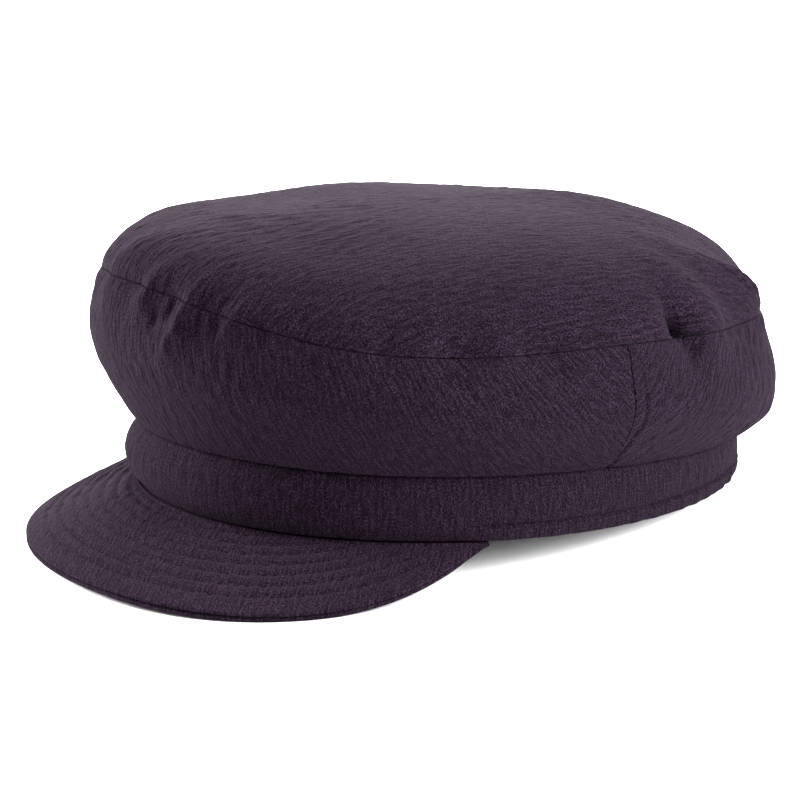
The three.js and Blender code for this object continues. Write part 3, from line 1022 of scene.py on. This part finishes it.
def quilt_lines():
    """The rows of stitches on the peak, each at its distance from the peak's edge."""
    lines = []
    from_edge = QUILT_FIRST
    while from_edge < PEAK_LENGTH - QUILT_PITCH / 2:
        across = np.linspace(-1, 1, GUIDE_FINENESS * PEAK_COLUMNS + 1)
        across = across[peak_length_at(across, 0) > from_edge + STITCH_PITCH / 2]
        level = from_edge / peak_length_at(across, 0)
        lines.append(on_peak(across, level))
        from_edge += QUILT_PITCH
    return lines


def band_line():
    """The row of stitches over the band's hem, from one end of the peak round to the other."""
    start = math.radians(HEM_START + HEM_FADE / 2)
    angle = np.linspace(start, FULL_TURN - start, GUIDE_FINENESS * BAND_COLUMNS + 1)
    share = BAND_STITCH_HEIGHT / (BAND_HEIGHT * section_at("band", angle))
    return [on_band(angle, share)]


def keep(piece, replaced=None):
    """Enters a finished piece in the frame's table."""
    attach(piece, "root")
    if replaced:
        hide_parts(replaced)


def make_cap():
    crepes = {crepe.name: crepe_material(crepe) for crepe in CREPES}
    thread = thread_material()
    turn = math.radians(SIDE_SEAM_TURN)
    front = make_crown_side("crown_side_front_cloth", 0, turn)
    back = make_crown_side("crown_side_back_cloth", FULL_TURN / 2, FULL_TURN / 2 - turn)
    upper = make_peak(
        "peak_upper_cloth", on_peak, upper_peak_wall, UPPER_TUCK_LEVELS, UPPER_RIPPLES
    )
    lower = make_peak(
        "peak_lower_cloth", on_lower_peak, lower_peak_wall, LOWER_TUCK_LEVELS, LOWER_RIPPLES
    )
    top = make_crown_top()
    band = make_band()
    place = standing_place(band)
    for piece, crepe, slot, replaced in (
        (top, "top_crepe", "crown_cloth", "crown_top"),
        (front, "crown_crepe", "crown_cloth", "crown_side_front"),
        (back, "crown_crepe", "crown_cloth", "crown_side_back"),
        (band, "band_crepe", "band_cloth", "band"),
        (upper, "peak_crepe", "peak_cloth", "peak_upper"),
        (lower, "peak_crepe", "peak_cloth", "peak_lower"),
    ):
        piece.data.materials.append(crepes[crepe])
        stand(piece, place)
        keep(piece, replaced)
    tree = stitch_tree()
    keep(sew("peak_stitches", quilt_lines(), tree, thread, place))
    keep(sew("band_stitches", band_line(), tree, thread, place))


# The camera
VIEW_AZIMUTH = 52.0
VIEW_ELEVATION = 18.0
VIEW_ROLL = -1.2
VIEW_DISTANCE = 0.91
VIEW_TARGET = (0.0007, 0.0116, 0.0089)
TARGET_OFFSET = (0.0127, -0.0194)  # where the target lies from the picture's middle, right and up
VIEW_LENS = 127.0
SENSOR_WIDTH = 36.0

# The lights, each at a distance from the cap to the right, towards the camera and up
Light = namedtuple("Light", "name right near_camera up size power")
LIGHTS = (
    Light("left_light", -1.3, -0.45, 0.55, 0.9, 109),
    Light("right_light", 1.2, 0.25, 0.55, 0.9, 70),
    Light("top_light", 0.0, -0.1, 1.6, 1.2, 36),
    Light("back_light", 0.0, -1.5, 0.45, 0.9, 53),
)
LIGHT_AIM = (0, 0, 0.05)
SKY_STRENGTH = 0.72
FLOOR_REACH = 4.0
FLOOR_DROP = 0.00005  # how far the floor lies below the cap, so that they don't share a plane
FLOOR_COLOUR = (0.95, 0.95, 0.95, 1.0)
FLOOR_ROUGHNESS = 0.8


def view_axes():
    """The camera's right, up and back directions at the photograph's angle."""
    azimuth = math.radians(VIEW_AZIMUTH)
    elevation = math.radians(VIEW_ELEVATION)
    roll = math.radians(VIEW_ROLL)
    back = Vector((
        math.sin(azimuth) * math.cos(elevation),
        -math.cos(azimuth) * math.cos(elevation),
        math.sin(elevation),
    ))
    level = Vector((math.cos(azimuth), math.sin(azimuth), 0))
    upright = back.cross(level)
    right = level * math.cos(roll) + upright * math.sin(roll)
    up = upright * math.cos(roll) - level * math.sin(roll)
    return right, up, back


def add_camera():
    right, up, back = view_axes()
    place = Vector(VIEW_TARGET) + back * VIEW_DISTANCE
    aim = Vector(VIEW_TARGET) - right * TARGET_OFFSET[0] - up * TARGET_OFFSET[1]
    towards = (place - aim).normalized()
    across = up.cross(towards).normalized()
    camera = bpy.data.cameras.new("camera")
    camera.lens = VIEW_LENS
    camera.sensor_width = SENSOR_WIDTH
    turn = Matrix((across, towards.cross(across), towards)).transposed().to_4x4()
    holder = add_object("camera", camera)
    holder.matrix_world = Matrix.Translation(place) @ turn
    bpy.context.scene.camera = holder


def add_light(row):
    """A round soft light that is aimed at the cap and isn't seen itself."""
    right, _, back = view_axes()
    level_back = Vector((back.x, back.y, 0)).normalized()
    place = row.right * right + row.near_camera * level_back + Vector((0, 0, row.up))
    turn = (place - Vector(LIGHT_AIM)).to_track_quat("Z", "Y").to_matrix().to_4x4()
    light = bpy.data.lights.new(row.name, "AREA")
    light.shape = "DISK"
    light.size = row.size
    light.energy = row.power
    holder = add_object(row.name, light)
    holder.matrix_world = Matrix.Translation(place) @ turn
    holder.visible_camera = False


def add_floor():
    mesh = bpy.data.meshes.new("floor")
    signs = ((-1, -1), (1, -1), (1, 1), (-1, 1))
    corners = [(x * FLOOR_REACH, y * FLOOR_REACH, -FLOOR_DROP) for x, y in signs]
    mesh.from_pydata(corners, [], [(0, 1, 2, 3)])
    mesh.materials.append(plain_material("white_floor", FLOOR_COLOUR, FLOOR_ROUGHNESS))
    floor = add_object("floor", mesh)


def add_studio():
    for row in LIGHTS:
        add_light(row)
    add_floor()
    world = bpy.data.worlds.new("studio")
    world.use_nodes = True
    sky = world.node_tree.nodes["Background"]
    sky.inputs["Color"].default_value = (1.0, 1.0, 1.0, 1.0)
    sky.inputs["Strength"].default_value = SKY_STRENGTH
    bpy.context.scene.world = world
    bpy.context.scene.view_settings.view_transform = "Standard"


make_cap()
add_studio()
add_camera()
